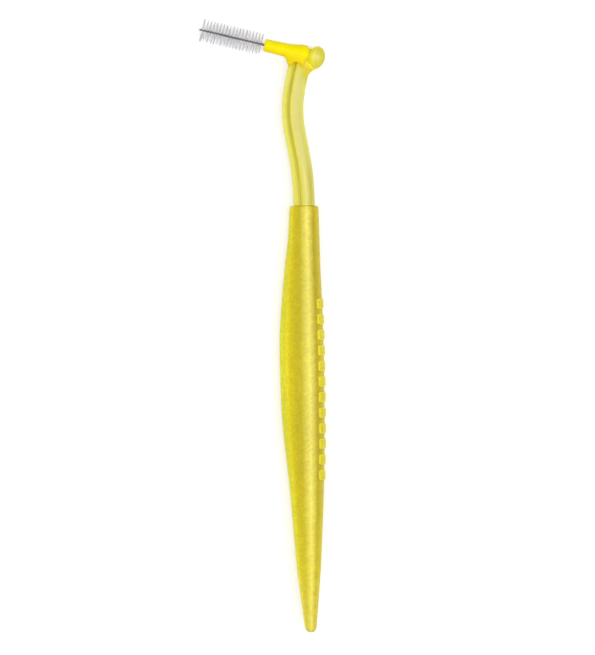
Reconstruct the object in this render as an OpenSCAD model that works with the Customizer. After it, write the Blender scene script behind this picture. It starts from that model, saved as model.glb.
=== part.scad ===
// Long-handled interdental brush with a click-on brush head, lying on its side.
// +Y runs along the handle to the head, -X is the side the brush points to, +Z is up.
// The origin is under the grip's axis, in the flat that the grip rests on.

/* [Grip] */
// Length of the grip from its round end to its rim
grip_len = 96; // [88:1:108]
// Length of the grip between its round end and the origin
grip_tail = 52.2; // [48:0.2:56]
// Largest distance from the grip's axis to its back edge
grip_back = 3.95; // [3.7:0.05:4.4]
// Largest distance from the grip's axis to the crest of its front keel
grip_front = 6; // [5.5:0.05:6.6]
// Largest thickness of the grip, before the flat under it is cut
grip_depth = 8.5; // [8.2:0.1:9.2]
// Height of the grip's axis over the flat that it rests on
rest_height = 3.9; // [3.6:0.05:4]
// Rounding of the edge of the grip's rim
rim_round = 0.6; // [0.3:0.05:0.9]
// Length over which the grip's end is rounded off
end_round = 1.3; // [0.8:0.1:2]
// Depth of the soft crease between the keel and the grip's sides
crease_depth = 0.22; // [0.05:0.01:0.35]

/* [Grip ridges] */
// Number of raised ridges on the grip's back edge
ridge_count = 12; // [6:1:13]
// Distance from one ridge to the next
ridge_pitch = 3.5; // [3.2:0.1:3.6]
// Width of a ridge along the grip
ridge_width = 2.7; // [1.4:0.1:3]
// Height of a ridge over the grip
ridge_rise = 0.28; // [0.15:0.01:0.45]
// Distance from the origin to the middle of the row of ridges
ridge_mid = 2.5; // [0:0.5:5]

/* [Neck] */
// Distance along the handle from the rim to the brush's axis
neck_rise = 34.2; // [30:0.2:40]
// Sideways reach of the neck's bend
neck_bow = 2.25; // [1.6:0.05:2.7]
// Width of the neck
neck_width = 4.85; // [4.6:0.05:5]
// Thickness of the neck at the rim
neck_depth = 4; // [3.7:0.1:4.4]
// Thickness of the neck inside the brush head
head_depth = 2.4; // [2.2:0.05:2.5]
// Depth of the flute that runs along each side of the neck
flute_depth = 0.45; // [0.2:0.05:0.55]

/* [Tang] */
// Length of the tang inside the grip
tang_len = 24; // [18:1:30]
// Radius of the tang between its barbs
tang_r = 1.6; // [1.4:0.05:1.75]
// Radius of the barbs
barb_r = 1.9; // [1.8:0.05:2.1]
// Number of barbs
barb_count = 4; // [2:1:5]
// Distance from one barb to the next
barb_pitch = 2.4; // [2:0.1:2.8]
// Length of the flat key under the rim that stops the tang turning
key_len = 5; // [3:0.5:7]
// Width of the key
key_width = 4; // [3.8:0.1:4.3]
// Thickness of the key
key_depth = 2; // [1.8:0.1:2.2]

/* [Head socket] */
// Angle by which the brush leans past square to the handle
brush_tilt = 14.2; // [8:0.1:20]
// Radius of the barrel that the brush head slides over
barrel_r = 1.2; // [1.15:0.01:1.3]
// Depth of the step in front of the neck that the chin of the brush head covers
chin_step = 0.4; // [0.3:0.05:0.55]
// Depth of the hole from the barrel's mouth
socket_depth = 6.3; // [6:0.1:7]
// Depth of the ring groove that the shank's bead clicks into
click_depth = 0.08; // [0.05:0.01:0.12]
// Radius of the thumb knob behind the barrel, across the brush's axis
knob_r = 2.55; // [2.4:0.05:2.9]
// Thickness of the knob along the brush's axis
knob_len = 3.8; // [3.4:0.1:4.4]
// Distance from the neck's middle to the knob's centre
knob_out = 3.4; // [3.3:0.05:4]
// Radius of the fillet under the web between the neck and the knob
web_fillet = 2.9; // [2:0.1:3.2]
// Thickness of the web
web_depth = 2; // [1.6:0.1:2.2]

/* [Brush head] */
// Distance from the neck's middle to the nose's end
nose_out = 8.65; // [7.8:0.05:9.6]
// Distance from the neck's middle to where the nose begins to widen into the hood
nose_root_out = 2.8; // [2.6:0.1:3.4]
// Radius of the nose at its end
nose_tip_r = 1.4; // [1.15:0.01:1.45]
// Radius of the nose where it begins to widen
nose_root_r = 1.54; // [1.4:0.01:1.6]
// Rounding of the nose's end
nose_round = 0.25; // [0.1:0.05:0.4]
// Radius of the hood
hood_r = 2.1; // [2.04:0.01:2.3]
// Distance from the neck's middle back to the hood's rear edge
hood_back = 1.05; // [0.9:0.05:1.15]
// Length of the hood's full round
hood_len = 1.2; // [0.8:0.1:1.6]
// Radius of the collar behind the hood
collar_r = 1.7; // [1.6:0.01:1.85]
// Length of the collar
collar_len = 0.5; // [0.3:0.05:0.55]
// Thickness of each cheek beside the neck
cheek_wall = 0.65; // [0.5:0.05:0.75]
// Drop of the chin below the brush's axis
chin_drop = 3.35; // [3:0.05:3.7]
// Thickness of the chin in front of the neck
chin_wall = 0.45; // [0.35:0.05:0.6]
// Distance from the neck's middle to where the chin leaves the nose
chin_reach = 3.6; // [3.4:0.1:4.2]
// Radius of the shank that plugs into the barrel
shank_r = 0.5; // [0.42:0.01:0.52]
// Length of the shank
shank_len = 5.7; // [5:0.1:5.8]
// Radius of the bead near the shank's end
bead_r = 0.56; // [0.54:0.01:0.6]

/* [Twisted wire and bristles] */
// Diameter of the wire
wire_d = 0.24; // [0.22:0.01:0.3]
// Gap between the wire's two strands, which holds the filaments
strand_gap = 0.08; // [0.08:0.01:0.12]
// Length of the twisted wire outside the nose
wire_out = 15.1; // [14.9:0.1:18]
// Length of the twisted wire held inside the nose
wire_in = 3; // [2:0.1:4]
// Length of one full turn of the twist
twist_pitch = 1.5; // [1.4:0.05:1.8]
// Length over which the twist dies out before the wire's tip
tip_ease = 0.9; // [0.6:0.1:1.2]
// Diameter across the bristles
bristle_d = 5.4; // [3.5:0.1:5.6]
// Length of wire that carries bristles
bristle_len = 13.9; // [13:0.1:14]
// Bare wire between the nose and the first bristle
bristle_start = 0.65; // [0.5:0.05:0.7]
// Number of filaments, each passing right through the twist
filament_count = 160; // [150:1:165]
// Width of a filament across the twist
filament_w = 0.07; // [0.05:0.005:0.075]
// Thickness of a filament along the twist
filament_t = 0.06; // [0.04:0.005:0.06]
// Largest lean of a filament's ends along the wire
filament_lean = 0.14; // [0:0.02:0.2]
// Largest shortfall of a filament's ends from the full diameter
filament_short = 0.14; // [0:0.02:0.4]

/* [Fits] */
// Gap around pieces that are pushed together for good
press_gap = 0.03; // [0.02:0.01:0.05]
// Gap around pieces that slide on and off
slide_gap = 0.05; // [0.04:0.01:0.06]

/* [Hidden] */
$fn = 64;
overrun = 1;

rim_y = grip_len - grip_tail;
head_y = rim_y + neck_rise;

// Grip outline: [place along the grip, back edge, front edge] as shares of the sizes above.
grip_outline_shares = [
    [0.00, 0.335, 0.178], [0.04, 0.425, 0.258], [0.10, 0.552, 0.375], [0.16, 0.668, 0.480],
    [0.22, 0.750, 0.555], [0.28, 0.828, 0.625], [0.34, 0.895, 0.700], [0.39, 0.935, 0.780],
    [0.45, 0.970, 0.878], [0.52, 0.992, 0.960], [0.60, 1.000, 0.992], [0.67, 0.992, 1.000],
    [0.73, 0.968, 0.955], [0.79, 0.930, 0.872], [0.86, 0.875, 0.758], [0.92, 0.850, 0.632],
    [0.97, 0.830, 0.572], [1.00, 0.820, 0.550]
];
grip_sides = 32;
keel_power = 3;
depth_share = grip_depth / (2 * grip_back);
ridge_half_angle = 48;
end_angles = [20, 42, 66];
end_inset_share = 0.8;
rim_angles = [0, 30, 60, 90];
tail_place_shares = [0.03, 0.06, 0.10, 0.15, 0.20, 0.25, 0.30];
head_place_shares = [0.82, 0.86, 0.90, 0.94, 0.975];
crease_step = 14;
crease_span_shares = [0.4, 0.9];

// Neck centreline: [place from the rim to the brush's axis, reach of the bend] as shares.
neck_line_shares = [
    [-0.10, 0.00], [0.00, 0.00], [0.09, 0.02], [0.18, 0.11], [0.27, 0.25], [0.36, 0.47],
    [0.45, 0.71], [0.53, 0.91], [0.61, 1.00], [0.69, 0.965], [0.77, 0.78], [0.85, 0.53],
    [0.93, 0.25], [1.00, 0.00]
];
neck_rings = 26;
neck_sides = 30;
neck_square_power = 2.6;
head_place_share = 0.86;
flute_step = 9;

// Places along the brush's axis, forward of the neck's middle.
seat_out = neck_width / 2 - chin_step;
bore_end_out = seat_out + slide_gap;
socket_r = bead_r + slide_gap;
bead_back = shank_len - 2 * bead_r - seat_out;

// The wire's strands circle this far from the brush's axis, and this hole takes them.
twist_r = (wire_d + strand_gap) / 2;
wire_hole_r = twist_r + wire_d / 2 + press_gap;
bend_out = wire_out - twist_r - wire_d / 2;
strand_sides = 6;
rings_per_turn = 12;

filament_step = (bristle_len - filament_t) / (filament_count - 1);
lean_turn = 137.5;
short_turn = 77.3;

// Smooth curve through a table's points, at a place inside its span.
function table_at(table, place, col) =
    let (
        last = len(table) - 1,
        before = [for (i = [1:last - 1]) if (table[i][0] <= place) i],
        i = len(before) == 0 ? 0 : max(before),
        a = table[i],
        b = table[i + 1],
        h = b[0] - a[0],
        t = (place - a[0]) / h,
        slope_a = i == 0 ? (b[col] - a[col]) / h
            : (b[col] - table[i - 1][col]) / (b[0] - table[i - 1][0]),
        slope_b = i + 1 == last ? (b[col] - a[col]) / h
            : (table[i + 2][col] - a[col]) / (table[i + 2][0] - a[0])
    )
    a[col] * (1 + 2 * t) * (1 - t) * (1 - t) + slope_a * h * t * (1 - t) * (1 - t)
    + b[col] * t * t * (3 - 2 * t) - slope_b * h * t * t * (1 - t);

// Middle of the box around a ring of points.
function middle_of(ring) =
    [for (i = [0:2])
        let (values = [for (p = ring) p[i]])
        (min(values) + max(values)) / 2
    ];

// Closed skin over rings of points, which run clockwise seen from the last ring.
module skin(rings) {
    sides = len(rings[0]);
    last = len(rings) - 1;
    start_middle = len(rings) * sides;
    end_middle = start_middle + 1;
    points = [for (ring = rings) each ring, middle_of(rings[0]), middle_of(rings[last])];
    walls = [
        for (i = [0:last - 1], j = [0:sides - 1])
            let (k = (j + 1) % sides, low = i * sides, high = low + sides)
            each [[low + j, high + k, high + j], [low + j, low + k, high + k]]
    ];
    start_cap = [for (j = [0:sides - 1]) [start_middle, (j + 1) % sides, j]];
    end_cap = [
        for (j = [0:sides - 1])
            [end_middle, last * sides + j, last * sides + (j + 1) % sides]
    ];
    polyhedron(points = points, faces = concat(walls, start_cap, end_cap), convexity = 6);
}

// Depth of the keel's crease at a place share along the grip.
function crease_at(place) =
    let (t = (place - crease_span_shares[0]) / (crease_span_shares[1] - crease_span_shares[0]))
    t <= 0 || t >= 1 ? 0 : crease_depth * sin(180 * t);

// One ring of the grip at a place share, at y, drawn in by inset, with its back lifted by lift.
function grip_ring(place, y, inset, lift) =
    let (
        back = grip_back * table_at(grip_outline_shares, place, 1) - inset,
        front = grip_front * table_at(grip_outline_shares, place, 2) - inset,
        round_front = min(front, back),
        depth = depth_share * (back + round_front) / 2
    )
    [for (j = [0:grip_sides - 1])
        let (
            a = 360 * j / grip_sides,
            c = cos(a),
            up = a < ridge_half_angle || a > 360 - ridge_half_angle ? lift : 0,
            dip = j == crease_step || j == grip_sides - crease_step ? crease_at(place) : 0,
            x = c >= 0 ? back * c
                : -(round_front * -c + (front - round_front) * pow(-c, keel_power))
        )
        [x + up * c, y, rest_height + (depth + up) * sin(a) - sign(sin(a)) * dip]
    ];

function ridge_y(i) = ridge_mid + (i - (ridge_count - 1) / 2) * ridge_pitch;
function place_at(y) = (y + grip_tail) / grip_len;
function y_at(place) = place * grip_len - grip_tail;

module grip_outside() {
    ridge_low = place_at(ridge_y(0) - ridge_width);
    ridge_high = place_at(ridge_y(ridge_count - 1) + ridge_width);
    end_half = end_inset_share * grip_back * table_at(grip_outline_shares, 0, 1);
    end_rings = [for (a = end_angles)
        let (place = end_round * (1 - cos(a)) / grip_len)
        grip_ring(place, y_at(place), end_half * (1 - sin(a)), 0)];
    tail_rings = [for (p = tail_place_shares) if (p < ridge_low) grip_ring(p, y_at(p), 0, 0)];
    ridge_rings = [
        for (i = [0:ridge_count - 1], step = [[-0.5, 0], [-0.32, 1], [0.32, 1], [0.5, 0]])
            let (y = ridge_y(i) + step[0] * ridge_width)
            grip_ring(place_at(y), y, 0, step[1] * ridge_rise)
    ];
    head_rings = [for (p = head_place_shares) if (p > ridge_high) grip_ring(p, y_at(p), 0, 0)];
    rim_rings = [for (a = rim_angles)
        let (y = rim_y - rim_round * (1 - sin(a)))
        grip_ring(place_at(y), y, rim_round * (1 - cos(a)), 0)];
    skin(concat(end_rings, tail_rings, ridge_rings, head_rings, rim_rings));
}

// Everything above the surface that the grip rests on.
module above_flat() {
    span = 2 * grip_len;
    translate([-span / 2, -span / 2, 0])
        cube(span);
}

// The tang's frame: z runs from the rim into the grip.
module tang_axis() {
    translate([0, rim_y, rest_height])
        rotate([90, 0, 0])
            children();
}

// The key's bar, from inside the neck to its end in the grip, made larger all round by gap.
module key_bar(gap) {
    width = key_width + 2 * gap;
    depth = key_depth + 2 * gap;
    translate([-width / 2, -depth / 2, -overrun])
        cube([width, depth, overrun + key_len + gap]);
}

module tang_hole() {
    tang_axis() {
        translate([0, 0, -overrun])
            cylinder(r = barb_r + press_gap, h = tang_len + press_gap + overrun);
        key_bar(press_gap);
    }
}

module grip() {
    color([0.86, 0.8, 0.2])
        difference() {
            intersection() {
                grip_outside();
                above_flat();
            }
            tang_hole();
        }
}

// Round tang with barbs that slope towards its end, and its key under the rim.
module tang() {
    tang_axis() {
        translate([0, 0, -overrun])
            cylinder(r = tang_r, h = tang_len + overrun);
        key_bar(0);
        for (i = [1:barb_count])
            translate([0, 0, tang_len - i * barb_pitch])
                cylinder(r1 = barb_r, r2 = tang_r, h = barb_pitch / 2);
    }
}

// Centreline of the neck at a place share, and the way it runs there.
function neck_point(place) =
    [-neck_bow * table_at(neck_line_shares, place, 1), rim_y + neck_rise * place];
function neck_way(place) =
    place >= 1 ? [sin(brush_tilt), cos(brush_tilt)]
    : place <= 0 ? [0, 1]
    : let (
        step = 0.01,
        run = neck_point(place + step) - neck_point(place - step)
    ) run / norm(run);

function neck_thickness(place) =
    place >= head_place_share ? head_depth
    : neck_depth + (head_depth - neck_depth) * place / head_place_share;

function squared(value) = sign(value) * pow(abs(value), 2 / neck_square_power);

function neck_ring(place) =
    let (
        middle = neck_point(place),
        way = neck_way(place),
        across = [way[1], -way[0]],
        half_depth = neck_thickness(place) / 2
    )
    [for (j = [0:neck_sides - 1])
        let (
            a = 360 * j / neck_sides,
            dip = j == flute_step || j == neck_sides - flute_step ? flute_depth : 0,
            lift = half_depth * squared(sin(a)) - sign(sin(a)) * dip,
            at = middle + across * (neck_width / 2 * squared(cos(a)))
        )
        [at[0], at[1], rest_height + lift]
    ];

module neck_stem() {
    skin([for (i = [0:neck_rings]) neck_ring(i / neck_rings)]);
}

// The brush head's frame: z runs out along the brush, y away from the grip, x up.
module head_frame() {
    translate([0, head_y, rest_height])
        rotate([0, 0, -brush_tilt])
            rotate([0, -90, 0])
                children();
}

// Plate of a shape drawn as [z, y] in the head's frame, with the given thickness.
module head_plate(thickness) {
    rotate([0, -90, 0])
        linear_extrude(height = thickness, center = true)
            children();
}

module barrel() {
    translate([0, 0, -knob_out])
        cylinder(r = barrel_r, h = knob_out + seat_out);
}

// Thumb knob, with a root that reaches forward to the collar of the brush head.
module knob() {
    translate([0, 0, -knob_out]) {
        rotate_extrude()
            polygon([for (a = [-90:9:90]) [knob_r * cos(a), knob_len / 2 * sin(a)]]);
        cylinder(r = collar_r - slide_gap, h = knob_out - hood_back - collar_len - slide_gap);
    }
}

// Web between the neck's back edge and the knob, under which a fillet runs into both.
module web() {
    middle_z = -neck_width / 2 - web_fillet;
    middle_y = -sqrt(pow(knob_r + web_fillet, 2) - pow(middle_z + knob_out, 2));
    head_plate(web_depth)
        difference() {
            polygon([[0, 0], [0, middle_y], [middle_z, middle_y], [-knob_out, 0]]);
            translate([middle_z, middle_y])
                circle(r = web_fillet);
        }
}

// Hole along the barrel, with the ring groove for the shank's bead.
module socket() {
    translate([0, 0, seat_out - socket_depth])
        cylinder(r = socket_r, h = socket_depth + overrun);
    translate([0, 0, -bead_back - bead_r])
        cylinder(r = socket_r + click_depth, h = 2 * bead_r);
}

// Step that leaves room for the chin in front of the neck.
module chin_room() {
    translate([-neck_width, -chin_drop - slide_gap, seat_out])
        cube([2 * neck_width, chin_drop + slide_gap + overrun, neck_width]);
}

module neck() {
    color([0.9, 0.86, 0.45])
        difference() {
            union() {
                neck_stem();
                tang();
                head_frame() {
                    barrel();
                    knob();
                    web();
                }
            }
            head_frame() {
                socket();
                chin_room();
            }
        }
}

// Nose, hood and collar, turned about the brush's axis.
module hood() {
    rotate_extrude()
        polygon(concat(
            [
                [0, -hood_back - collar_len],
                [collar_r, -hood_back - collar_len],
                [collar_r, -hood_back],
                [hood_r, -hood_back],
                [hood_r, hood_len - hood_back],
                [nose_root_r, nose_root_out]
            ],
            [for (a = [0:22.5:90])
                [nose_tip_r - nose_round * (1 - cos(a)), nose_out - nose_round * (1 - sin(a))]],
            [[0, nose_out]]
        ));
}

// Cheeks and chin that straddle the neck, arched above it between chin and collar.
module cheeks() {
    half = head_depth / 2 + slide_gap + cheek_wall;
    chin_front = bore_end_out + chin_wall;
    arch_top = -chin_drop * 0.64;
    intersection() {
        head_plate(2 * half)
            polygon([
                [-hood_back, 0],
                [-hood_back, -chin_drop * 0.86],
                [-hood_back * 0.5, -chin_drop * 0.8],
                [0, -chin_drop * 0.69],
                [seat_out * 0.3, arch_top],
                [seat_out * 0.45, arch_top],
                [seat_out * 0.7, -chin_drop * 0.75],
                [seat_out, -chin_drop],
                [chin_front, -chin_drop * 0.96],
                [chin_front + chin_wall * 0.3, -chin_drop * 0.84],
                [chin_reach, -nose_root_r * 0.97],
                [chin_reach, 0]
            ]);
        rotate([90, 0, 0])
            linear_extrude(height = chin_drop)
                polygon([
                    [-half, -hood_back],
                    [half, -hood_back],
                    [half, hood_len - hood_back],
                    [nose_root_r, nose_root_out],
                    [nose_root_r * 0.8, chin_reach],
                    [-nose_root_r * 0.8, chin_reach],
                    [-nose_root_r, nose_root_out],
                    [-half, hood_len - hood_back]
                ]);
    }
}

// Room for the barrel and for the neck, open behind and below.
module neck_room() {
    half = head_depth / 2 + slide_gap;
    back = hood_back + collar_len + overrun;
    translate([0, 0, -back])
        cylinder(r = barrel_r + slide_gap, h = back + bore_end_out);
    translate([-half, -chin_drop - overrun, -back])
        cube([2 * half, chin_drop + overrun + slide_gap, back + bore_end_out]);
}

module wire_hole() {
    translate([0, 0, nose_out - wire_in - press_gap])
        cylinder(r = wire_hole_r, h = wire_in + press_gap + overrun);
}

// Shank with a bead that clicks into the barrel, turned about the brush's axis.
module shank() {
    shank_back = shank_len - seat_out;
    rotate_extrude()
        polygon([
            [0, -shank_back],
            [shank_r * 0.6, -shank_back],
            [shank_r, -shank_back + shank_r * 0.6],
            [shank_r, -bead_back - bead_r * 0.8],
            [bead_r, -bead_back - bead_r * 0.3],
            [bead_r, -bead_back + bead_r * 0.3],
            [shank_r, -bead_back + bead_r * 0.8],
            [shank_r, nose_root_out],
            [0, nose_root_out]
        ]);
}

module refill_body() {
    color([0.98, 0.9, 0.06])
        head_frame() {
            difference() {
                union() {
                    hood();
                    cheeks();
                }
                neck_room();
                wire_hole();
            }
            shank();
        }
}

// Turn of the twist at z from the nose's end. It slows to nothing before the wire's bend.
function twist_at(z) =
    let (past = max(0, z - bend_out + tip_ease))
    360 / twist_pitch * (z - past * past / (2 * tip_ease));
function twist_rate(z) =
    let (past = max(0, z - bend_out + tip_ease))
    2 * PI / twist_pitch * (1 - past / tip_ease);

function outward(a) = [cos(a), sin(a), 0];

// Ring of a strand around a point, with a flat towards the strand's inner side.
function strand_ring(middle, inward, way) =
    let (side = cross(inward, way))
    [for (j = [0:strand_sides - 1])
        let (a = 360 * (j + 0.5) / strand_sides)
        middle + wire_d / 2 * (cos(a) * inward + sin(a) * side)];

// Ring of the strand that lies on one side (1 or -1) at z, run up or down the wire by it.
function twist_ring(z, side) =
    let (
        out = side * outward(twist_at(z)),
        around = side * outward(twist_at(z) + 90) * twist_r * twist_rate(z),
        way = side * (around + [0, 0, 1])
    )
    strand_ring(twist_r * out + [0, 0, z], -out, way / norm(way));

module twisted_wire() {
    count = ceil((wire_in + bend_out) / twist_pitch * rings_per_turn);
    places = [for (i = [0:count]) -wire_in + (wire_in + bend_out) * i / count];
    tip_out = outward(twist_at(bend_out));
    bend_rings = [for (a = [30:30:150])
        let (out = cos(a) * tip_out + [0, 0, sin(a)], way = -sin(a) * tip_out + [0, 0, cos(a)])
        strand_ring(twist_r * out + [0, 0, bend_out], -out, way)];
    color([0.42, 0.42, 0.45])
        head_frame()
            translate([0, 0, nose_out])
                skin(concat(
                    [for (i = [0:count]) twist_ring(places[i], 1)],
                    bend_rings,
                    [for (i = [0:count]) twist_ring(places[count - i], -1)]
                ));
}

// The filaments leave the wire square to its two strands. Each cuts a thin core that joins them.
function filament_z(i) = bristle_start + i * filament_step;
function filament_way(z) = outward(twist_at(z) + 90);
function core_ring(z) =
    let (u = filament_way(z), v = outward(twist_at(z)), half = filament_w / 2)
    [for (s = [[1, 1], [-1, 1], [-1, -1], [1, -1]]) half * (s[0] * u + s[1] * v) + [0, 0, z]];
function filament_tip(i, side) =
    let (
        low = filament_z(i),
        middle = low + filament_t / 2,
        u = side * filament_way(middle),
        v = side * outward(twist_at(middle)) * filament_w / 2,
        lean = [0, 0, filament_lean * sin(lean_turn * i * side)],
        reach = bristle_d / 2 - filament_short * pow(sin(short_turn * i + 90 * side), 2),
        base = u * reach + lean
    )
    [
        base - v + [0, 0, low],
        base + v + [0, 0, low],
        base + v + [0, 0, low + filament_t],
        base - v + [0, 0, low + filament_t]
    ];

// Two triangles over four corners.
function quad(a, b, c, d) = [[a, b, c], [a, c, d]];

module bristles() {
    core_points = [for (i = [0:filament_count - 1])
        each concat(core_ring(filament_z(i)), core_ring(filament_z(i) + filament_t))];
    tip_points = [for (i = [0:filament_count - 1]) each concat(filament_tip(i, 1), filament_tip(i, -1))];
    first_tip = len(core_points);
    core_last = 2 * filament_count - 1;
    core_walls = [
        for (s = [0:core_last - 1], k = [0:3])
            if (s % 2 == 1 || k == 0 || k == 2)
                let (n = (k + 1) % 4)
                each quad(4 * s + k, 4 * s + n, 4 * s + n + 4, 4 * s + k + 4)
    ];
    filament_faces = [
        for (i = [0:filament_count - 1], side = [0, 1])
            let (
                low = 8 * i,
                from = side == 0 ? 3 : 1,
                to = side == 0 ? 0 : 2,
                root = [low + from, low + to, low + to + 4, low + from + 4],
                t = first_tip + 8 * i + 4 * side
            )
            each concat(
                quad(t, t + 1, t + 2, t + 3),
                [for (q = [0:3])
                    let (r = (q + 1) % 4)
                    each quad(root[q], root[r], t + r, t + q)]
            )
    ];
    caps = concat(
        quad(3, 2, 1, 0),
        quad(4 * core_last, 4 * core_last + 1, 4 * core_last + 2, 4 * core_last + 3)
    );
    color([0.85, 0.84, 0.88])
        head_frame()
            translate([0, 0, nose_out])
                polyhedron(
                    points = concat(core_points, tip_points),
                    faces = concat(core_walls, filament_faces, caps),
                    convexity = 10
                );
}

grip();
neck();
refill_body();
twisted_wire();
bristles();
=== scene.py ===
"""Looks of a long-handled interdental brush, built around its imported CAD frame."""
import math
import random

import bmesh
import bpy
import numpy as np
from mathutils import Matrix, Vector


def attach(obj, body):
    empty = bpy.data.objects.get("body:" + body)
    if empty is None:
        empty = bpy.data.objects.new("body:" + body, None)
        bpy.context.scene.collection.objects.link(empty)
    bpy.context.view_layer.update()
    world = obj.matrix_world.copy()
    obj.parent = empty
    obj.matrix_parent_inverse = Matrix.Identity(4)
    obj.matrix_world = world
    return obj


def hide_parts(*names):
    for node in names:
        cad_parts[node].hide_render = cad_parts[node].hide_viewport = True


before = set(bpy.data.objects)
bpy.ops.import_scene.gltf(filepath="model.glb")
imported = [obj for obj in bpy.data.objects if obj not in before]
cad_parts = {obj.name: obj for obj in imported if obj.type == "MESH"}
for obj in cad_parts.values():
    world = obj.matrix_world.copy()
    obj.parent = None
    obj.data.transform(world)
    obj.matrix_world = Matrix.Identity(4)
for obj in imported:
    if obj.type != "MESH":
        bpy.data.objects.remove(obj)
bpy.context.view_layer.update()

MM = 0.001

# In millimetres: points nearer than this are one, the radius of a turned solid's pointed end, and
# how far a solid or a cutter runs past the place where it meets another.
WELD = 0.002
POINT_R = 0.01
OVERLAP = 1.0

# Real sizes in millimetres, and the brush's tilt in degrees, as in the construction.
GRIP_LEN = 96.0
GRIP_TAIL = 52.2
GRIP_BACK = 3.95
GRIP_FRONT = 6.0
GRIP_DEPTH = 8.5
REST_HEIGHT = 3.9
RIM_ROUND = 0.6
END_ROUND = 1.3
CREASE_DEPTH = 0.22
RIDGE_COUNT = 12
RIDGE_PITCH = 3.5
RIDGE_WIDTH = 2.7
RIDGE_RISE = 0.28
RIDGE_MID = 2.5

NECK_RISE = 34.2
NECK_BOW = 2.25
NECK_WIDTH = 4.85
NECK_DEPTH = 4.0
HEAD_DEPTH = 2.4
FLUTE_DEPTH = 0.45
TANG_LEN = 24.0
TANG_R = 1.6
BARB_R = 1.9
BARB_COUNT = 4
BARB_PITCH = 2.4
KEY_LEN = 5.0
KEY_WIDTH = 4.0
KEY_DEPTH = 2.0
PRESS_GAP = 0.03
SLIDE_GAP = 0.05

BRUSH_TILT = 14.2
BARREL_R = 1.2
CHIN_STEP = 0.4
SOCKET_DEPTH = 6.3
KNOB_R = 2.55
KNOB_LEN = 3.8
KNOB_OUT = 3.4
WEB_FILLET = 2.9
WEB_DEPTH = 2.0

NOSE_OUT = 8.65
NOSE_ROOT_OUT = 2.8
NOSE_TIP_R = 1.4
NOSE_ROOT_R = 1.54
NOSE_ROUND = 0.25
HOOD_R = 2.1
HOOD_BACK = 1.05
HOOD_LEN = 1.2
COLLAR_R = 1.7
COLLAR_LEN = 0.5
CHEEK_WALL = 0.65
CHIN_DROP = 3.35
CHIN_WALL = 0.45
CHIN_REACH = 3.6
SHANK_R = 0.5
SHANK_LEN = 5.7
BEAD_R = 0.56
CLICK_DEPTH = 0.08

WIRE_D = 0.24
TWIST_R = 0.16
WIRE_OUT = 15.1
WIRE_IN = 3.0
TWIST_PITCH = 1.5
TIP_EASE = 0.9
BRISTLE_D = 5.4
BRISTLE_LEN = 13.9
BRISTLE_START = 0.65

RIM_Y = GRIP_LEN - GRIP_TAIL
HEAD_Y = RIM_Y + NECK_RISE
SEAT_OUT = NECK_WIDTH / 2 - CHIN_STEP
BORE_END_OUT = SEAT_OUT + SLIDE_GAP
BEAD_BACK = SHANK_LEN - 2 * BEAD_R - SEAT_OUT
BEND_OUT = WIRE_OUT - TWIST_R - WIRE_D / 2
COLLAR_OUT = -HOOD_BACK - COLLAR_LEN

# Grip outline: place along the grip, back edge, front edge, as shares of the sizes above.
GRIP_OUTLINE_SHARES = [
    (0.00, 0.335, 0.178), (0.04, 0.425, 0.258), (0.10, 0.552, 0.375), (0.16, 0.668, 0.480),
    (0.22, 0.750, 0.555), (0.28, 0.828, 0.625), (0.34, 0.895, 0.700), (0.39, 0.935, 0.780),
    (0.45, 0.970, 0.878), (0.52, 0.992, 0.960), (0.60, 1.000, 0.992), (0.67, 0.992, 1.000),
    (0.73, 0.968, 0.955), (0.79, 0.930, 0.872), (0.86, 0.875, 0.758), (0.92, 0.850, 0.632),
    (0.97, 0.830, 0.572), (1.00, 0.820, 0.550),
]
# Neck centreline: place from the rim to the brush's axis, reach of the bend, as shares.
NECK_LINE_SHARES = [
    (-0.10, 0.00), (0.00, 0.00), (0.09, 0.02), (0.18, 0.11), (0.27, 0.25), (0.36, 0.47),
    (0.45, 0.71), (0.53, 0.91), (0.61, 1.00), (0.69, 0.965), (0.77, 0.78), (0.85, 0.53),
    (0.93, 0.25), (1.00, 0.00),
]


def table_at(table, place, col):
    """Smooth curve through the values in a table's column, at a place inside its span."""
    last = len(table) - 1
    i = max([k for k in range(1, last) if table[k][0] <= place], default=0)
    a, b = table[i], table[i + 1]
    h = b[0] - a[0]
    t = (place - a[0]) / h
    slope_a = slope_b = (b[col] - a[col]) / h
    if i > 0:
        slope_a = (b[col] - table[i - 1][col]) / (b[0] - table[i - 1][0])
    if i + 1 < last:
        slope_b = (table[i + 2][col] - a[col]) / (table[i + 2][0] - a[0])
    return (a[col] * (1 + 2 * t) * (1 - t) ** 2 + slope_a * h * t * (1 - t) ** 2
            + b[col] * t * t * (3 - 2 * t) - slope_b * h * t * t * (1 - t))


def smooth(low, high, value):
    """Smooth step from 0 at low to 1 at high."""
    t = min(1.0, max(0.0, (value - low) / (high - low)))
    return t * t * (3 - 2 * t)


def add_mesh(name, points, faces, uvs=None):
    """New smooth-shaded object from points in millimetres, with a UV for each point if given."""
    mesh = bpy.data.meshes.new(name)
    mesh.from_pydata([tuple(c * MM for c in p) for p in points], [], faces)
    if uvs is not None:
        layer = mesh.uv_layers.new(name="UVMap")
        for loop in mesh.loops:
            layer.data[loop.index].uv = uvs[loop.vertex_index]
    work = bmesh.new()
    work.from_mesh(mesh)
    bmesh.ops.recalc_face_normals(work, faces=work.faces)
    work.to_mesh(mesh)
    work.free()
    mesh.polygons.foreach_set("use_smooth", [True] * len(mesh.polygons))
    obj = bpy.data.objects.new(name, mesh)
    bpy.context.scene.collection.objects.link(obj)
    return obj


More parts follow.
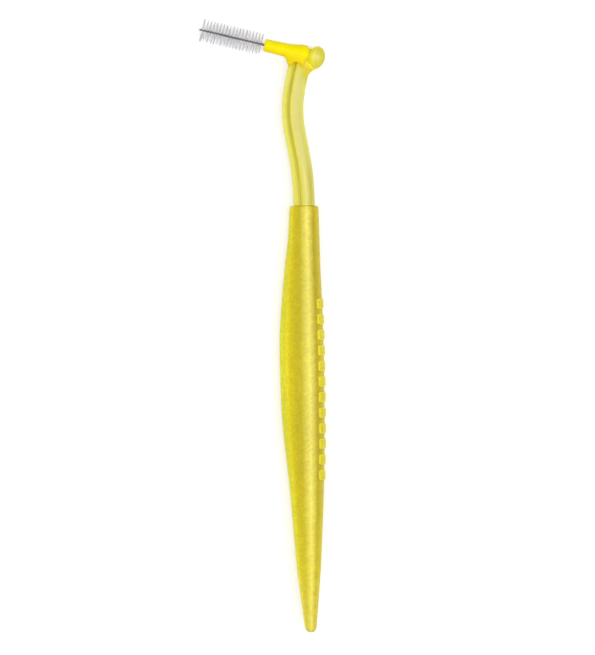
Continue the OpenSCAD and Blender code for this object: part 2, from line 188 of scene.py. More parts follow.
def tube_faces(count, sides, first=0):
    """Faces of a closed tube over count rings of points, which start at point number first."""
    top = first + (count - 1) * sides
    faces = []
    for low in range(first, top, sides):
        for j in range(sides):
            k = (j + 1) % sides
            faces.append((low + j, low + k, low + sides + k, low + sides + j))
    return faces + [tuple(range(first, first + sides)), tuple(range(top, top + sides))]


def loft(name, rings):
    """Closed skin over rings of points. U runs around it and V along it."""
    sides = len(rings[0])
    points = [p for ring in rings for p in ring]
    uvs = [(j / sides, i / (len(rings) - 1)) for i in range(len(rings)) for j in range(sides)]
    return add_mesh(name, points, tube_faces(len(rings), sides), uvs)


def around(sides):
    """Cosine, sine and angle off +X in degrees, for each point around a ring."""
    for j in range(sides):
        a = 360 * j / sides
        yield math.cos(math.radians(a)), math.sin(math.radians(a)), min(a, 360 - a)


def add_layer(obj, name, values):
    """Store a value for each point, for the materials."""
    layer = obj.data.attributes.new(name, "FLOAT", "POINT")
    layer.data.foreach_set("value", np.array(values, np.float32))


def bake(obj):
    """Apply an object's modifiers to its mesh."""
    graph = bpy.context.evaluated_depsgraph_get()
    result = bpy.data.meshes.new_from_object(obj.evaluated_get(graph))
    obj.modifiers.clear()
    obj.data = result
    result.polygons.foreach_set("use_smooth", [True] * len(result.polygons))


def clean(mesh):
    """Split a mesh into triangles, with no slivers and no doubled points."""
    work = bmesh.new()
    work.from_mesh(mesh)
    bmesh.ops.remove_doubles(work, verts=work.verts, dist=WELD * MM)
    bmesh.ops.triangulate(work, faces=work.faces)
    bmesh.ops.dissolve_degenerate(work, dist=WELD * MM, edges=work.edges)
    bmesh.ops.triangulate(work, faces=work.faces)
    work.to_mesh(mesh)
    work.free()


def melt(name, solids, cutters, voxel, rounds):
    """One skin around solids, softened where they meet, with cutters taken away. The solids and
    the cutters are used up."""
    work = bmesh.new()
    for solid in solids:
        work.from_mesh(solid.data)
        bpy.data.objects.remove(solid)
    mesh = bpy.data.meshes.new(name)
    work.to_mesh(mesh)
    work.free()
    obj = bpy.data.objects.new(name, mesh)
    bpy.context.scene.collection.objects.link(obj)
    remesh = obj.modifiers.new("remesh", "REMESH")
    remesh.mode = "VOXEL"
    remesh.voxel_size = voxel * MM
    soften = obj.modifiers.new("soften", "SMOOTH")
    soften.iterations = rounds
    bake(obj)
    for cutter in cutters:
        cut = obj.modifiers.new("cut", "BOOLEAN")
        cut.operation = "DIFFERENCE"
        cut.solver = "MANIFOLD"
        cut.object = cutter
    bake(obj)
    clean(obj.data)
    for cutter in cutters:
        bpy.data.objects.remove(cutter)
    return obj


# Grip. Angles are in degrees off +X, the side with the ridges.

GRIP_SIDES = 120
GRIP_STEP = 0.2
KEEL_POWER = 3
CREASE_ANGLE = 157.5
CREASE_HALF = 9.0
CREASE_SPAN_SHARES = (0.4, 0.9)
RIDGE_HALF_ANGLE = (40.0, 54.0)
RIDGE_TOP_SHARE = 0.3
END_SHARE = 0.8
TAIL_ANGLES = range(20, 90, 7)
RIM_ANGLES = range(0, 91, 10)


def crease_at(place):
    """Depth of the crease beside the keel, at a place along the grip."""
    low, high = CREASE_SPAN_SHARES
    t = (place - low) / (high - low)
    return CREASE_DEPTH * math.sin(math.pi * t) if 0 < t < 1 else 0.0


def ridge_at(y, side):
    """Height share of the ridges at y, and at an angle off their side of the grip."""
    place = (y - RIDGE_MID) / RIDGE_PITCH + (RIDGE_COUNT - 1) / 2
    nearest = min(RIDGE_COUNT - 1, max(0, round(place)))
    off = abs(place - nearest) * RIDGE_PITCH / RIDGE_WIDTH
    return (1 - smooth(RIDGE_TOP_SHARE, 0.5, off)) * (1 - smooth(*RIDGE_HALF_ANGLE, side))


def grip_ring(y, inset=0.0):
    """Section of the grip at y, drawn in at its edges by an inset."""
    place = min(1.0, max(0.0, (y + GRIP_TAIL) / GRIP_LEN))
    back = GRIP_BACK * table_at(GRIP_OUTLINE_SHARES, place, 1) - inset
    front = GRIP_FRONT * table_at(GRIP_OUTLINE_SHARES, place, 2) - inset
    round_front = min(front, back)
    depth = GRIP_DEPTH / (2 * GRIP_BACK) * (back + round_front) / 2
    ring = []
    for c, s, side in around(GRIP_SIDES):
        lift = RIDGE_RISE * ridge_at(y, side)
        dip = crease_at(place) * (1 - smooth(0, CREASE_HALF, abs(side - CREASE_ANGLE)))
        x = back * c if c >= 0 else round_front * c + (front - round_front) * c ** KEEL_POWER
        z = REST_HEIGHT + (depth + lift) * s - math.copysign(dip, s)
        ring.append((x + lift * c, y, max(0.0, z)))
    return ring


def circle_ring(radius, y):
    """Ring around the grip's axis at y."""
    turn = [math.tau * j / GRIP_SIDES for j in range(GRIP_SIDES)]
    return [(radius * math.cos(a), y, REST_HEIGHT + radius * math.sin(a)) for a in turn]


def make_grip():
    """Shell with a bore for the tang, which stores the ridges' height share at each point."""
    tail_half = GRIP_BACK * GRIP_OUTLINE_SHARES[0][1]
    rings = []
    for a in map(math.radians, TAIL_ANGLES):
        y = -GRIP_TAIL + END_ROUND * (1 - math.cos(a))
        rings.append(grip_ring(y, END_SHARE * tail_half * (1 - math.sin(a))))
    y = -GRIP_TAIL + END_ROUND
    while y < RIM_Y - RIM_ROUND:
        rings.append(grip_ring(y))
        y += GRIP_STEP
    for a in map(math.radians, RIM_ANGLES):
        y = RIM_Y - RIM_ROUND * (1 - math.sin(a))
        rings.append(grip_ring(y, RIM_ROUND * (1 - math.cos(a))))
    ridges = [ridge_at(ring[0][1], side) for ring in rings for _, _, side in around(GRIP_SIDES)]
    bore = [circle_ring(BARB_R + PRESS_GAP, y) for y in (RIM_Y, RIM_Y - TANG_LEN - PRESS_GAP)]
    obj = loft("grip_shell", rings + bore)
    add_layer(obj, "ridge", ridges + [0.0] * (len(bore) * GRIP_SIDES))
    return obj


# Neck. The flute's angles are in degrees off +X.

NECK_SIDES = 120
NECK_STEPS = 200
NECK_SQUARE_POWER = 2.6
HEAD_PLACE_SHARE = 0.86
FLUTE_ANGLE = 108.0
FLUTE_HALF = 12.0
NECK_VOXEL = 0.107
NECK_ROUNDS = 11
WAY_STEP = 0.005
BARB_SLOPE = 0.01
KNOB_ANGLES = range(-90, 91, 5)
WEB_ARC_STEPS = 16


def neck_point(place):
    """Middle of the neck at a place along it, seen from above."""
    return Vector((-NECK_BOW * table_at(NECK_LINE_SHARES, place, 1), RIM_Y + NECK_RISE * place))


def neck_way(place):
    """Direction of the neck at a place along it, seen from above."""
    if place >= 1:
        tilt = math.radians(BRUSH_TILT)
        return Vector((math.sin(tilt), math.cos(tilt)))
    if place <= 0:
        return Vector((0, 1))
    return (neck_point(place + WAY_STEP) - neck_point(place - WAY_STEP)).normalized()


def squared(value):
    """Turn the cosine or sine of a circle into that of a soft square."""
    return math.copysign(abs(value) ** (2 / NECK_SQUARE_POWER), value)


def neck_ring(place):
    """Section across the neck at a place along it."""
    middle = neck_point(place)
    way = neck_way(place)
    across = Vector((way.y, -way.x))
    share = min(1.0, place / HEAD_PLACE_SHARE)
    half_depth = (NECK_DEPTH + (HEAD_DEPTH - NECK_DEPTH) * share) / 2
    ring = []
    for c, s, side in around(NECK_SIDES):
        dip = FLUTE_DEPTH * (1 - smooth(0, FLUTE_HALF, abs(side - FLUTE_ANGLE)))
        at = middle + across * (NECK_WIDTH / 2 * squared(c))
        ring.append((at.x, at.y, REST_HEIGHT + half_depth * squared(s) - math.copysign(dip, s)))
    return ring


# The brush head's frame: z runs out along the brush, y away from the grip, x up.
HEAD_MATRIX = (
    Matrix.Translation((0, HEAD_Y, REST_HEIGHT))
    @ Matrix.Rotation(math.radians(-BRUSH_TILT), 4, "Z")
    @ Matrix.Rotation(math.radians(-90), 4, "Y")
)
HEAD_INVERSE = HEAD_MATRIX.inverted()
LATHE_SIDES = 96
DROP_SPAN = 6.0


def in_head(p):
    """Place of a point that is given in the head's frame."""
    return tuple(HEAD_MATRIX @ Vector(p))


def lathe(profile):
    """Solid turned about the brush's axis from (radius, z) pairs."""
    turn = [math.tau * j / LATHE_SIDES for j in range(LATHE_SIDES)]
    return loft("turned", [
        [in_head((r * math.cos(a), r * math.sin(a), z)) for a in turn] for r, z in profile])


def rod(radius, low, high):
    """Round bar along the brush's axis from z low to z high."""
    return lathe([(radius, low), (radius, high)])


def plate(outline, thickness):
    """Plate of a shape given as (z, y) pairs in the head's frame."""
    return loft("plate", [
        [in_head((x, y, z)) for z, y in outline] for x in (-thickness / 2, thickness / 2)])


def web_outline():
    """Outline of the web between neck and knob, with a fillet that meets both."""
    middle_z = -NECK_WIDTH / 2 - WEB_FILLET
    middle_y = -math.sqrt((KNOB_R + WEB_FILLET) ** 2 - (middle_z + KNOB_OUT) ** 2)
    end = math.atan2(-middle_y, -KNOB_OUT - middle_z)
    arc = [end * i / WEB_ARC_STEPS for i in range(WEB_ARC_STEPS + 1)]
    return (
        [(-KNOB_OUT, 0), (0, 0), (0, middle_y)]
        + [(middle_z + WEB_FILLET * math.cos(a), middle_y + WEB_FILLET * math.sin(a)) for a in arc]
    )


def make_neck():
    """Neck with its tang, key, barrel, knob and web, less the socket and the chin's room."""
    stem = loft("stem", [neck_ring(i / NECK_STEPS) for i in range(NECK_STEPS + 1)])
    tang_steps = [(TANG_R, -OVERLAP)]
    for i in range(BARB_COUNT, 0, -1):
        depth = TANG_LEN - i * BARB_PITCH
        tang_steps += [(TANG_R, depth), (BARB_R, depth + BARB_SLOPE),
                       (TANG_R, TANG_LEN - (i - 0.5) * BARB_PITCH)]
    tang_steps.append((TANG_R, TANG_LEN))
    tang = loft("tang", [circle_ring(r, RIM_Y - depth) for r, depth in tang_steps])
    key = loft("key", [
        [(x * KEY_WIDTH / 2, y, REST_HEIGHT + z * KEY_DEPTH / 2)
         for x, z in ((1, 1), (-1, 1), (-1, -1), (1, -1))]
        for y in (RIM_Y + OVERLAP, RIM_Y - KEY_LEN)
    ])
    barrel = rod(BARREL_R, -KNOB_OUT, SEAT_OUT)
    knob = lathe([
        (max(POINT_R, KNOB_R * math.cos(a)), -KNOB_OUT + KNOB_LEN / 2 * math.sin(a))
        for a in map(math.radians, KNOB_ANGLES)
    ])
    root = rod(COLLAR_R - SLIDE_GAP, -KNOB_OUT, COLLAR_OUT - SLIDE_GAP)
    web = plate(web_outline(), WEB_DEPTH)
    socket_r = BEAD_R + SLIDE_GAP
    groove_r = socket_r + CLICK_DEPTH
    socket = lathe([
        (socket_r, SEAT_OUT - SOCKET_DEPTH), (socket_r, -BEAD_BACK - BEAD_R),
        (groove_r, -BEAD_BACK - BEAD_R), (groove_r, -BEAD_BACK + BEAD_R),
        (socket_r, -BEAD_BACK + BEAD_R), (socket_r, SEAT_OUT + OVERLAP),
    ])
    chin = -CHIN_DROP - SLIDE_GAP
    chin_room = plate([(SEAT_OUT, OVERLAP), (SEAT_OUT, chin), (NECK_WIDTH, chin),
                       (NECK_WIDTH, OVERLAP)], 2 * NECK_WIDTH)
    obj = melt("neck_skin", [stem, tang, key, barrel, knob, root, web], [socket, chin_room],
               NECK_VOXEL, NECK_ROUNDS)
    add_places(obj)
    return obj


# Where the tones of the neck's parts come in: the foot in shares of the neck, the seam in
# millimetres past the rim, the knob in shares of its radius and up to a little past the collar,
# and the web in millimetres of the head's frame, backwards, downwards and up from its foot.
FOOT_SPAN = (0.12, 0.4)
SEAM_SPAN = (0.05, 0.45)
KNOB_SPAN = (1.0, 1.15)
KNOB_REACH = 0.1
WEB_BACK_SPAN = (0.5, 1.3)
WEB_DROP_SPAN = (0.2, 1.8)
WEB_FOOT_SPAN = (-7.2, -4.2)
# Rounds of the search for the place along the neck that is nearest to a point.
PLACE_ROUNDS = 3


def add_places(obj):
    """Store these for each point, for the neck's material:
    across: place across the neck, 0 at the front edge and 1 at the back
    foot, seam, web, knob: how far it is into that part
    along: place along the knob, 0 at the back
    rim: distance from the knob's middle line, 1 at its edge
    drop: distance below the brush's axis, 1 at DROP_SPAN
    """
    places = np.linspace(0, 1, NECK_STEPS + 1)
    middles = np.array([tuple(neck_point(p)) for p in places])
    ways = np.array([tuple(neck_way(p)) for p in places])
    co = np.zeros(len(obj.data.vertices) * 3, np.float32)
    obj.data.vertices.foreach_get("co", co)
    points = co.reshape(-1, 3) / MM
    at = points[:, :2]
    place = np.clip((at[:, 1] - RIM_Y) / NECK_RISE, 0, 1)
    for _ in range(PLACE_ROUNDS):
        index = np.round(place * NECK_STEPS).astype(int)
        off = at - middles[index]
        place = np.clip(place + (off * ways[index]).sum(axis=1) / NECK_RISE, 0, 1)
    index = np.round(place * NECK_STEPS).astype(int)
    off = at - middles[index]
    values = {
        "across": 0.5 + (off[:, 0] * ways[index, 1] - off[:, 1] * ways[index, 0]) / NECK_WIDTH,
        "foot": [1 - smooth(*FOOT_SPAN, p) for p in place],
        "seam": [1 - smooth(*SEAM_SPAN, y - RIM_Y) for y in at[:, 1]],
        "web": [], "knob": [], "along": [], "rim": [], "drop": [],
    }
    for x, y, z in points:
        p = HEAD_INVERSE @ Vector((x, y, z))
        out = math.hypot(p.y / KNOB_R, 2 * (p.z + KNOB_OUT) / KNOB_LEN)
        on_knob = p.z < COLLAR_OUT + KNOB_REACH
        values["web"].append(smooth(*WEB_BACK_SPAN, -p.z) * smooth(*WEB_DROP_SPAN, -p.y)
                             * smooth(*WEB_FOOT_SPAN, p.y))
        values["knob"].append(1 - smooth(*KNOB_SPAN, out) if on_knob else 0.0)
        values["along"].append(0.5 + (p.z + KNOB_OUT) / KNOB_LEN)
        values["rim"].append(abs(p.y) / KNOB_R)
        values["drop"].append(-p.y / DROP_SPAN)
    for name, value in values.items():
        add_layer(obj, name, value)


# Brush head

HEAD_VOXEL = 0.055
HEAD_ROUNDS = 10
ROUND_CHIN = 0.5
NOSE_ANGLES = range(0, 91, 15)

# Sections of the cheeks from back to front: place as a share of the way to the hood's back, below
# 0, or to the seat, above it, how much narrower each side is in millimetres, and drop as a share
# of the chin's. Then the same for the chin, with its place as a share of the chin's wall.
CHEEK_SHARES = [
    (-1, 0, 0.86), (-0.5, 0, 0.8), (0, 0, 0.69), (0.3, 0.06, 0.64), (0.45, 0.12, 0.64),
    (0.7, 0.2, 0.75), (1, 0.28, 1),
]
CHIN_SHARES = [(0, 0.36, 0.96), (0.3, 0.4, 0.84)]
# Half width and drop of the last section, inside the nose, as shares of the nose's root radius.
CHEEK_END_SHARES = (0.8, 0.97)
# Radius and length of the shank's blunt end as shares of its radius, and half lengths of the
# bead's foot and of its top as shares of the bead's.
SHANK_END_SHARES = (0.6, 0.4)
BEAD_SHARES = (0.8, 0.3)


def make_refill():
    """The brush head's shell, and the shank that clicks into the neck."""
    hood = lathe([
        (POINT_R, COLLAR_OUT), (COLLAR_R, COLLAR_OUT), (COLLAR_R, -HOOD_BACK),
        (HOOD_R, -HOOD_BACK), (HOOD_R, HOOD_LEN - HOOD_BACK), (NOSE_ROOT_R, NOSE_ROOT_OUT),
    ] + [
        (NOSE_TIP_R - NOSE_ROUND * (1 - math.cos(a)), NOSE_OUT - NOSE_ROUND * (1 - math.sin(a)))
        for a in map(math.radians, NOSE_ANGLES)
    ])
    gap_half = HEAD_DEPTH / 2 + SLIDE_GAP
    half = gap_half + CHEEK_WALL
    chin_front = BORE_END_OUT + CHIN_WALL
    sections = [
        (place * (HOOD_BACK if place < 0 else SEAT_OUT), half - narrower, share * CHIN_DROP)
        for place, narrower, share in CHEEK_SHARES
    ] + [
        (chin_front + place * CHIN_WALL, half - narrower, share * CHIN_DROP)
        for place, narrower, share in CHIN_SHARES
    ] + [(CHIN_REACH, *(share * NOSE_ROOT_R for share in CHEEK_END_SHARES))]
    cheeks = loft("cheeks", [
        [in_head(p) for p in (
            (w, 0, z), (-w, 0, z), (-w, -drop + ROUND_CHIN, z), (-w + ROUND_CHIN / 2, -drop, z),
            (w - ROUND_CHIN / 2, -drop, z), (w, -drop + ROUND_CHIN, z))]
        for z, w, drop in sections
    ])
    room_back = COLLAR_OUT - OVERLAP
    room_foot = -CHIN_DROP - OVERLAP
    barrel_room = rod(BARREL_R + SLIDE_GAP, room_back, BORE_END_OUT)
    neck_room = plate([(room_back, SLIDE_GAP), (room_back, room_foot), (BORE_END_OUT, room_foot),
                       (BORE_END_OUT, SLIDE_GAP)], 2 * gap_half)
    wire_hole = rod(TWIST_R + WIRE_D / 2 + PRESS_GAP, NOSE_OUT - WIRE_IN - PRESS_GAP,
                    NOSE_OUT + OVERLAP)
    shell = melt("head_shell", [hood, cheeks], [barrel_room, neck_room, wire_hole],
                 HEAD_VOXEL, HEAD_ROUNDS)
    shank_back = SEAT_OUT - SHANK_LEN
    end_radius, end_length = (share * SHANK_R for share in SHANK_END_SHARES)
    bead_foot, bead_top = (share * BEAD_R for share in BEAD_SHARES)
    shank = lathe([
        (POINT_R, shank_back), (end_radius, shank_back), (SHANK_R, shank_back + end_length),
        (SHANK_R, -BEAD_BACK - bead_foot), (BEAD_R, -BEAD_BACK - bead_top),
        (BEAD_R, -BEAD_BACK + bead_top), (SHANK_R, -BEAD_BACK + bead_foot),
        (SHANK_R, NOSE_ROOT_OUT),
    ])
    shank.name = "head_shank"
    for piece in (shell, shank):
        add_layer(piece, "drop", [
            -(HEAD_INVERSE @ (point.co / MM)).y / DROP_SPAN for point in piece.data.vertices])
    return shell, shank


# Twisted wire

AXIS = Vector((0, 0, 1))
STRAND_SIDES = 12
RINGS_PER_TURN = 28
BEND_STEPS = 12


def twist_at(z):
    """Angle of the twist at z past the nose. It slows to a stop at the bend."""
    past = max(0.0, z - BEND_OUT + TIP_EASE)
    return math.tau / TWIST_PITCH * (z - past * past / (2 * TIP_EASE))


def twist_rate(z):
    """Change of the twist's angle for each millimetre."""
    past = max(0.0, z - BEND_OUT + TIP_EASE)
    return math.tau / TWIST_PITCH * (1 - past / TIP_EASE)


def outward(a):
    """Direction square to the brush's axis at an angle around it."""
    return Vector((math.cos(a), math.sin(a), 0))


def strand_ring(middle, inward, way):
    """Section of a strand that runs in a direction, with the twist's middle on its inward side."""
    side = way.cross(inward)
    ring = []
    for j in range(STRAND_SIDES):
        a = math.tau * (j + 0.5) / STRAND_SIDES
        ring.append(in_head(middle + WIRE_D / 2 * (math.cos(a) * inward + math.sin(a) * side)))
    return ring


def twist_ring(z, side):
    """Section of the strand on side 1, which runs outwards, or on side -1, which comes back."""
    out = side * outward(twist_at(z))
    turn = side * outward(twist_at(z) + math.pi / 2) * TWIST_R * twist_rate(z)
    way = (side * (turn + AXIS)).normalized()
    return strand_ring(TWIST_R * out + Vector((0, 0, NOSE_OUT + z)), -out, way)


def make_wire():
    """One wire, twisted out to the tip, bent double there and twisted back."""
    count = math.ceil((WIRE_IN + BEND_OUT) / TWIST_PITCH * RINGS_PER_TURN)
    places = [-WIRE_IN + (WIRE_IN + BEND_OUT) * i / count for i in range(count + 1)]
    rings = [twist_ring(z, 1) for z in places]
    tip = outward(twist_at(BEND_OUT))
    for step in range(1, BEND_STEPS):
        a = math.pi * step / BEND_STEPS
        out = math.cos(a) * tip + math.sin(a) * AXIS
        way = -math.sin(a) * tip + math.cos(a) * AXIS
        rings.append(strand_ring(TWIST_R * out + (NOSE_OUT + BEND_OUT) * AXIS, -out, way))
    rings += [twist_ring(z, -1) for z in reversed(places)]
    return loft("wire_twist", rings)


# Bristles. The spreads are in millimetres, and the last clumps are folded back from the end.

CLUMP_COUNT = 126
CLUMP_SIZE = 3
TIP_CLUMPS = 2
CLUMP_SPREAD = 0.022
CLUMP_LEAN_SPREAD = 0.06
CLUMP_SWAY_SPREAD = 0.1
LEAN_SPREAD = 0.04
SWAY_SPREAD = 0.07
TRIM_SPREAD = 0.04
BRISTLE_TRIM = 0.045
FILAMENT_R = 0.028
FILAMENT_SIDES = 5
FILAMENT_RINGS = 6
BRISTLE_SEED = 7


def make_bristles():
    """Filaments that pass through the twist, square to it, and lean and sway towards their ends.
    Each point stores its share of the reach."""
    draw = random.Random(BRISTLE_SEED)
    start = BRISTLE_START + FILAMENT_R
    end = BRISTLE_START + BRISTLE_LEN - FILAMENT_R
    steps = [-1 + k / FILAMENT_RINGS for k in range(2 * FILAMENT_RINGS + 1)]
    points, faces, reaches = [], [], []
    for i in range(CLUMP_COUNT * CLUMP_SIZE):
        if i % CLUMP_SIZE == 0:
            share = (i // CLUMP_SIZE) / (CLUMP_COUNT - TIP_CLUMPS - 1)
            clump_z = start + (BRISTLE_LEN - 2 * FILAMENT_R) * share
            clump_lean = [draw.gauss(0, CLUMP_LEAN_SPREAD) for _ in range(2)]
            clump_sway = [draw.gauss(0, CLUMP_SWAY_SPREAD) for _ in range(2)]
        z = start + abs(draw.gauss(clump_z, CLUMP_SPREAD) - start)
        z = end - abs(end - z)
        out = outward(twist_at(z) + math.pi / 2)
        side = outward(twist_at(z))
        reach = [BRISTLE_D / 2 - BRISTLE_TRIM - abs(draw.gauss(0, TRIM_SPREAD)) for _ in range(2)]
        lean = [min(end - z, draw.gauss(clump_lean[k], LEAN_SPREAD)) for k in range(2)]
        sway = [draw.gauss(clump_sway[k], SWAY_SPREAD) for k in range(2)]
        faces += tube_faces(len(steps), FILAMENT_SIDES, len(points))
        for s in steps:
            half = 0 if s < 0 else 1
            bend = s * s
            at = (out * s * reach[half] + AXIS * (NOSE_OUT + z + lean[half] * bend)
                  + side * sway[half] * bend)
            for j in range(FILAMENT_SIDES):
                a = math.tau * j / FILAMENT_SIDES
                points.append(in_head(at + FILAMENT_R * (math.cos(a) * side + math.sin(a) * AXIS)))
                reaches.append(abs(s))
    obj = add_mesh("bristle_brush", points, faces)
    add_layer(obj, "reach", reaches)
    return obj


# Materials

# Sockets of a Mix node that mixes colours.
MIX_FIRST, MIX_SECOND, MIX_RESULT = 6, 7, 2


def srgb(r, g, b):
    """Linear colour from sRGB values of 0 to 255."""
    return tuple(
        c / 12.92 if c <= 0.04045 else ((c + 0.055) / 1.055) ** 2.4
        for c in (r / 255, g / 255, b / 255)
    )


def grey(value):
    """Colour with three equal values."""
    return (value,) * 3


def principled(name, colour, roughness, **inputs):
    """New material. Returns it with its node tree and its Principled shader."""
    material = bpy.data.materials.new(name)
    material.use_nodes = True
    shader = material.node_tree.nodes["Principled BSDF"]
    shader.inputs["Base Color"].default_value = (*colour, 1)
    shader.inputs["Roughness"].default_value = roughness
    for key, value in inputs.items():
        shader.inputs[key.replace("_", " ")].default_value = value
    return material, material.node_tree, shader


def feed(tree, value, socket):
    """Link a socket to another one, or set it to a number or a colour."""
    if isinstance(value, bpy.types.NodeSocket):
        tree.links.new(value, socket)
    elif isinstance(value, tuple):
        socket.default_value = (*value, 1)
    else:
        socket.default_value = value


def add_math(tree, operation, first, second):
    """Result of a Math node on two values, each a socket or a number."""
    node = tree.nodes.new("ShaderNodeMath")
    node.operation = operation
    feed(tree, first, node.inputs[0])
    feed(tree, second, node.inputs[1])
    return node.outputs[0]


def add_mix(tree, factor, first, second, blend="MIX"):
    """Mix of two colours by a factor, each a socket or a plain value."""
    mix = tree.nodes.new("ShaderNodeMix")
    mix.data_type = "RGBA"
    mix.blend_type = blend
    feed(tree, factor, mix.inputs["Factor"])
    feed(tree, first, mix.inputs[MIX_FIRST])
    feed(tree, second, mix.inputs[MIX_SECOND])
    return mix.outputs[MIX_RESULT]


def add_product(tree, first, second):
    """One colour times another."""
    return add_mix(tree, 1, first, second, "MULTIPLY")


def add_noise(tree, scale, detail):
    """Noise from 0 to 1 in object space."""
    coords = tree.nodes.new("ShaderNodeTexCoord")
    noise = tree.nodes.new("ShaderNodeTexNoise")
    noise.inputs["Scale"].default_value = scale
    noise.inputs["Detail"].default_value = detail
    tree.links.new(coords.outputs["Object"], noise.inputs["Vector"])
    return noise.outputs["Fac"]


def add_grain(tree, shader, scale, strength, distance):
    """Fine bump from noise."""
    bump = tree.nodes.new("ShaderNodeBump")
    bump.inputs["Strength"].default_value = strength
    bump.inputs["Distance"].default_value = distance
    tree.links.new(add_noise(tree, scale, detail=3), bump.inputs["Height"])
    tree.links.new(bump.outputs["Normal"], shader.inputs["Normal"])


def add_ramp(tree, source, tones):
    """Colour ramp over a value, from (place, colour) pairs in order."""
    ramp = tree.nodes.new("ShaderNodeValToRGB")
    for place, _ in tones[1:-1]:
        ramp.color_ramp.elements.new(place)
    for element, (place, tone) in zip(ramp.color_ramp.elements, tones):
        element.position = place
        element.color = (*tone, 1)
    tree.links.new(source, ramp.inputs["Fac"])
    return ramp.outputs["Color"]


def add_mottle(tree, colour, scale, depth):
    """Colour darkened by noise, down to 1 - depth of itself."""
    noise = add_noise(tree, scale, detail=4)
    shade = add_ramp(tree, noise, [(0.3, grey(1 - depth)), (0.7, grey(1))])
    return add_product(tree, colour, shade)


def add_attribute(tree, name):
    """Value that is stored for each point."""
    node = tree.nodes.new("ShaderNodeAttribute")
    node.attribute_name = name
    return node.outputs["Fac"]


def add_fold(tree, value):
    """0 to 1 to 0 as a value goes from 0 to 1."""
    return add_math(tree, "MULTIPLY", add_math(tree, "PINGPONG", value, 0.5), 2)


def grip_material():
    """Frosted soft plastic with painted light and shade along it, at its tail and on its ridges.
    """
    material, tree, shader = principled(
        "frosted_yellow", srgb(214, 196, 48), 0.5, Subsurface_Weight=0.3, Subsurface_Scale=0.0015)
    shader.inputs["Subsurface Radius"].default_value = (1.0, 0.8, 0.2)
    shader.inputs["Specular IOR Level"].default_value = 0.2
    add_grain(tree, shader, scale=3000, strength=0.25, distance=0.00005)
    coords = tree.nodes.new("ShaderNodeTexCoord")
    split = tree.nodes.new("ShaderNodeSeparateXYZ")
    tree.links.new(coords.outputs["UV"], split.inputs["Vector"])
    # Painted light around the section, the same above and below: a painted highlight stripe along
    # the top, painted shade bands beside it, and a painted glow along the thin keel.
    tones = add_ramp(tree, add_fold(tree, split.outputs["X"]), [
        (0.00, srgb(228, 208, 64)), (0.12, srgb(222, 204, 46)), (0.30, srgb(195, 175, 32)),
        (0.44, srgb(250, 237, 109)), (0.60, srgb(207, 190, 28)), (0.68, srgb(210, 190, 22)),
        (0.76, srgb(226, 208, 11)), (0.81, srgb(245, 229, 26)), (0.86, srgb(238, 230, 46)),
        (1.00, srgb(238, 232, 70)),
    ])
    along = split.outputs["Y"]
    # Painted light at the tail: the tones are mixed towards a pale, bluish painted highlight.
    tail_share = add_ramp(tree, along, [(0.0, grey(0.5)), (0.15, grey(0.28)), (0.32, grey(0))])
    tail = add_ramp(tree, along, [(0.02, srgb(239, 228, 108)), (0.15, srgb(246, 231, 55))])
    tones = add_mix(tree, tail_share, tones, tail)
    # Painted shade in bands along the grip.
    tones = add_product(tree, tones, add_ramp(tree, along, [
        (0.32, grey(1)), (0.48, (0.93, 0.93, 0.97)), (0.60, grey(1)),
        (0.76, (0.94, 0.94, 0.97)), (0.88, (0.95, 0.95, 1)), (0.98, grey(1))]))
    # Painted shade at the feet of the ridges and painted highlights on their tops.
    ridge = add_attribute(tree, "ridge")
    ridge_shade_share = add_ramp(tree, ridge, [(0.0, grey(0)), (0.2, grey(0.4)), (0.45, grey(0))])
    tones = add_mix(tree, ridge_shade_share, tones, srgb(184, 164, 20))
    ridge_highlight_share = add_ramp(tree, ridge, [(0.2, grey(0)), (0.6, grey(0.9)), (1.0, grey(0.38))])
    tones = add_mix(tree, ridge_highlight_share, tones, srgb(252, 237, 42))
    tones = add_mottle(tree, tones, scale=1500, depth=0.17)
    tones = add_mottle(tree, tones, scale=500, depth=0.08)
    tree.links.new(tones, shader.inputs["Base Color"])
    return material


